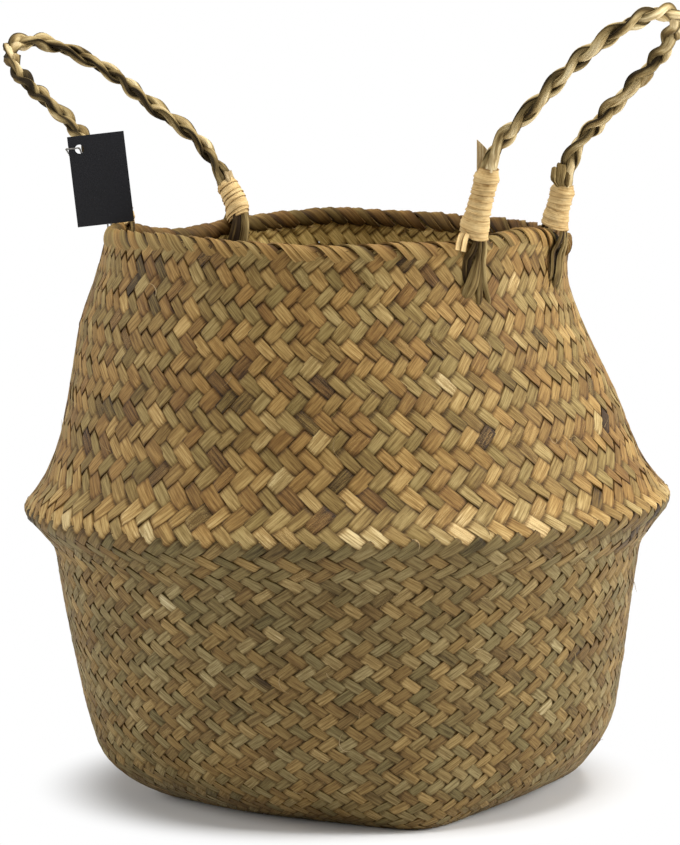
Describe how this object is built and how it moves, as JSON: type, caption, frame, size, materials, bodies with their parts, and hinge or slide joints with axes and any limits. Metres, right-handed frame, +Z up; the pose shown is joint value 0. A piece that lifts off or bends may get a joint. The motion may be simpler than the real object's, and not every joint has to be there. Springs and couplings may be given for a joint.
{
  "type": "belly basket",
  "caption": "Soft woven seagrass basket with a wide belly fold, an open mouth, swinging plaited handles with raffia bindings, and a plain swing tag.",
  "frame": {"origin": "middle of the square base, on the floor", "axes": "+Z up, +X towards the right handle, +Y to the back of the pair of handles"},
  "size_m": [0.4481, 0.34, 0.4185],
  "materials": {
    "seagrass": "dry woven seagrass",
    "border": "folded seagrass ends",
    "plait": "plaited seagrass",
    "root": "dark seagrass strands",
    "raffia": "pale raffia",
    "card": "matt black card",
    "thread": "grey thread"
  },
  "bodies": {
    "basket": {"base_mat": "seagrass", "lower_wall": "seagrass", "upper_wall": "seagrass", "rim_border": "border", "root_right_front": "root", "root_right_back": "root", "root_left_rear": "root", "root_left_front": "root", "tag_string": "thread", "tag_knot": "thread"},
    "handle_right": {"handle_right_strand_1": "plait", "handle_right_strand_2": "plait", "handle_right_strand_3": "plait", "binding_right_front": "raffia", "binding_right_back": "raffia", "tail_right_front": "plait", "tail_right_back": "plait"},
    "handle_left": {"handle_left_strand_1": "plait", "handle_left_strand_2": "plait", "handle_left_strand_3": "plait", "binding_left_rear": "raffia", "binding_left_front": "raffia", "tail_left_rear": "plait", "tail_left_front": "plait"},
    "tag": {"swing_tag": "card"}
  },
  "joints": [
    {"name": "right_handle_swing", "type": "hinge", "parent": "basket", "child": "handle_right", "pos_m": [0.10617, -0.00262, 0.3007], "axis": [0, 1, 0], "range_deg": [-84, 51]},
    {"name": "left_handle_swing", "type": "hinge", "parent": "basket", "child": "handle_left", "pos_m": [-0.12322, 0.00131, 0.3007], "axis": [-0.0349, -0.9994, 0], "range_deg": [-98, 36]},
    {"name": "tag_flap", "type": "hinge", "parent": "basket", "child": "tag", "pos_m": [-0.12893, -0.07179, 0.3353], "axis": [-0.7667, -0.632, -0.1132], "range_deg": [0, 60]}
  ]
}
